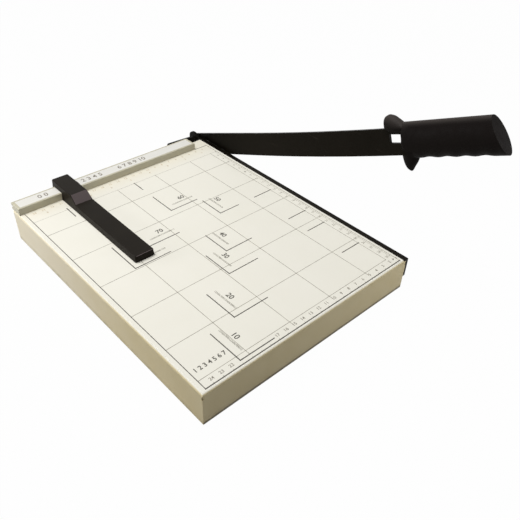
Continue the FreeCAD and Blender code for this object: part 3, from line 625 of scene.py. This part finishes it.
def print_small():
    """The small rows of numbers beside the corner marks."""
    mesh = bmesh.new()
    bold = {"weight": small_row_weight}
    for width, depth, across, back in corner_marks:
        upright = depth > width
        stroke = back if upright else across
        middle = small_row_start + stroke / 2
        text = "".join(str((number + 1) % 10) for number in range(int(stroke / small_row_pitch)))
        if upright:
            x = -width + small_row_gap
            y = -depth + middle
            add_numerals(mesh, text, x, y, small_row_size, upright_turn, **bold)
        else:
            x = -width + middle
            y = -depth + small_row_gap
            add_numerals(mesh, text, x, y, small_row_size, **bold)
    return mesh


def print_mark_numbers():
    """The plain number of each corner mark and the row of digits at the front left."""
    mesh = bmesh.new()
    bold = {"weight": mark_number_weight}
    for order, (width, depth, across, back) in enumerate(corner_marks):
        label = str(mark_number_step * (order + 1))
        if depth > width:
            x = -width + mark_number_gap
            y = -depth + mark_number_along
            add_numerals(mesh, label, x, y, mark_number_size, upright_turn, **bold)
        else:
            x = -width + mark_number_along
            y = -depth + mark_number_gap
            add_numerals(mesh, label, x, y, mark_number_size, **bold)
    add_numerals(mesh, front_text, *front_text_place, front_text_size, **bold)
    return mesh


def print_pointer():
    """The small triangle that points at the blade in the front right corner."""
    mesh = bmesh.new()
    x, y = pointer_place
    corners = [(x, y), (x - pointer_size, y + pointer_size / 2), (x - pointer_size, y - pointer_size / 2)]
    low = [mesh.verts.new(at(*corner, -print_sunk)) for corner in corners]
    high = [mesh.verts.new(at(*corner, print_height)) for corner in corners]
    mesh.faces.new(low)
    mesh.faces.new(high[::-1])
    for number in range(len(corners)):
        following = (number + 1) % len(corners)
        mesh.faces.new((low[number], high[number], high[following], low[following]))
    return mesh


label_text_size = 9.0
label_text_weight = 0.12
label_first = ("1 2 3 4 5", -167.0)
label_second = ("6 7 8 9 10", -112.0)
label_mark = ("0 0", -222.0)


def label_numbers():
    """Plain numbers on the film in the fence's top."""
    low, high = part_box("fence_label")
    top = (high.z - board_origin.z) / MM
    middle = ((low.y + high.y) / 2 - board_origin.y) / MM
    mesh = bmesh.new()
    for text, x in (label_first, label_second, label_mark):
        bottom = top - print_sunk
        raised = top + print_height
        add_numerals(mesh, text, x, middle, label_text_size, 0.0, bottom, raised, label_text_weight)
    return mesh


def build_print():
    """Every printed piece, on the board and on the fence."""
    dark = ink("dark_ink", srgb(62, 58, 52), srgb(88, 83, 74), 3.0)
    marks = ink("mark_ink", srgb(58, 55, 48), srgb(92, 88, 77), 4.0)
    grey = ink("grid_ink", srgb(150, 146, 132), srgb(182, 178, 164), 6.0)
    ruler = ink("ruler_ink", srgb(120, 114, 102), srgb(160, 154, 140), 2.5)
    brown = ink("faint_ink", srgb(180, 158, 120), srgb(212, 198, 168), 3.0)
    small = ink("small_ink", srgb(140, 136, 124), srgb(180, 176, 164), 2.0)
    film = ink("film_ink", srgb(104, 96, 84), srgb(150, 143, 130), 2.5)
    piece("print_frame", print_frame(), dark, "base")
    piece("print_grid", print_grid(), grey, "base")
    piece("print_rulers", print_rulers(), ruler, "base")
    piece("print_faint", print_faint(), brown, "base")
    piece("print_small", print_small(), small, "base")
    piece("print_mark_numbers", print_mark_numbers(), marks, "base")
    piece("print_pointer", print_pointer(), dark, "base")
    piece("label_numbers", label_numbers(), film, "base")


# Stage

# Each lamp's name, place, target, side and power
lamps = (
    ("top_light", (-330, 60, 1080), (-120, -150, 0), 820, 12.9),
    ("left_light", (-620, 200, 60), (-253, 20, -15), 240, 1.15),
    ("right_light", (180, -540, 60), (0, -305, -15), 240, 0.42),
)
view_near = 10.0
view_far = 50000.0
floor_size = 9000.0
floor_drop = 0.02
floor_pale = 0.45
world_light = 0.05
world_white = 1.0
floor_white_share = 0.985
world_white_share = 1.0


def white_where_seen(nodes, links, plain, seen_share, white):
    """Mixes white into a shader for the rays that see it directly, mirrored or through glass."""
    rays = nodes.new("ShaderNodeLightPath")
    sum_one = nodes.new("ShaderNodeMath")
    sum_one.operation = "MAXIMUM"
    links.new(rays.outputs["Is Camera Ray"], sum_one.inputs[0])
    links.new(rays.outputs["Is Glossy Ray"], sum_one.inputs[1])
    sum_two = nodes.new("ShaderNodeMath")
    sum_two.operation = "MAXIMUM"
    links.new(sum_one.outputs[0], sum_two.inputs[0])
    links.new(rays.outputs["Is Transmission Ray"], sum_two.inputs[1])
    share = nodes.new("ShaderNodeMath")
    share.operation = "MULTIPLY"
    share.inputs[1].default_value = seen_share
    links.new(sum_two.outputs[0], share.inputs[0])
    mix = nodes.new("ShaderNodeMixShader")
    links.new(share.outputs[0], mix.inputs[0])
    links.new(plain, mix.inputs[1])
    links.new(white, mix.inputs[2])
    return mix.outputs[0]


def build_floor():
    """A plain pale floor that shows as white and keeps the object's soft shadow."""
    bpy.ops.mesh.primitive_plane_add(size=floor_size * MM, location=(0, 0, -floor_drop * MM))
    floor = bpy.context.object
    floor.name = "floor"
    material = bpy.data.materials.new("floor")
    material.use_nodes = True
    nodes = material.node_tree.nodes
    links = material.node_tree.links
    nodes.remove(nodes["Principled BSDF"])
    diffuse = nodes.new("ShaderNodeBsdfDiffuse")
    diffuse.inputs["Color"].default_value = (floor_pale, floor_pale, floor_pale, 1.0)
    glow = nodes.new("ShaderNodeEmission")
    glow.inputs["Strength"].default_value = 1.0
    seen = white_where_seen(nodes, links, diffuse.outputs[0], floor_white_share, glow.outputs[0])
    links.new(seen, nodes["Material Output"].inputs["Surface"])
    floor.data.materials.append(material)


def build_world():
    """A dim even sky that shows as white."""
    world = bpy.data.worlds.new("studio")
    world.use_nodes = True
    nodes = world.node_tree.nodes
    links = world.node_tree.links
    dim = nodes["Background"]
    dim.inputs["Strength"].default_value = world_light
    white = nodes.new("ShaderNodeBackground")
    white.inputs["Color"].default_value = (1.0, 1.0, 1.0, 1.0)
    white.inputs["Strength"].default_value = world_white
    dim.inputs["Color"].default_value = (1.0, 1.0, 1.0, 1.0)
    seen = white_where_seen(nodes, links, dim.outputs[0], world_white_share, white.outputs[0])
    links.new(seen, nodes["World Output"].inputs["Surface"])
    bpy.context.scene.world = world


def softbox(name, place, target, size, power):
    """A square lamp at one place of the board's frame that faces another."""
    lamp = bpy.data.lights.new(name, "AREA")
    lamp.shape = "SQUARE"
    lamp.size = size * MM
    lamp.energy = power
    holder = bpy.data.objects.new(name, lamp)
    holder.location = at(*place)
    holder.rotation_euler = (at(*target) - at(*place)).to_track_quat("-Z", "Y").to_euler()
    holder.visible_camera = False
    bpy.context.scene.collection.objects.link(holder)


def build_lights():
    """Soft lamps: one above, one at the back left and one at the front right."""
    for lamp in lamps:
        softbox(*lamp)


def build_camera():
    """The camera, turned by its heading, dip and roll."""
    lens = bpy.data.cameras.new("camera")
    lens.sensor_width = sensor_width
    lens.lens = camera_focal_pixels / photo_side * sensor_width
    lens.clip_start = view_near * MM
    lens.clip_end = view_far * MM
    camera = bpy.data.objects.new("camera", lens)
    level = Matrix.Rotation(-camera_heading, 4, "Z") @ Matrix.Rotation(math.pi / 2 - camera_dip, 4, "X")
    camera.matrix_world = Matrix.Translation(at(*camera_place)) @ level @ Matrix.Rotation(camera_roll, 4, "Z")
    bpy.context.scene.collection.objects.link(camera)
    bpy.context.scene.camera = camera


dress_solids(node_materials())
build_print()
build_floor()
build_world()
build_lights()
build_camera()
bpy.context.scene.view_settings.view_transform = "Standard"
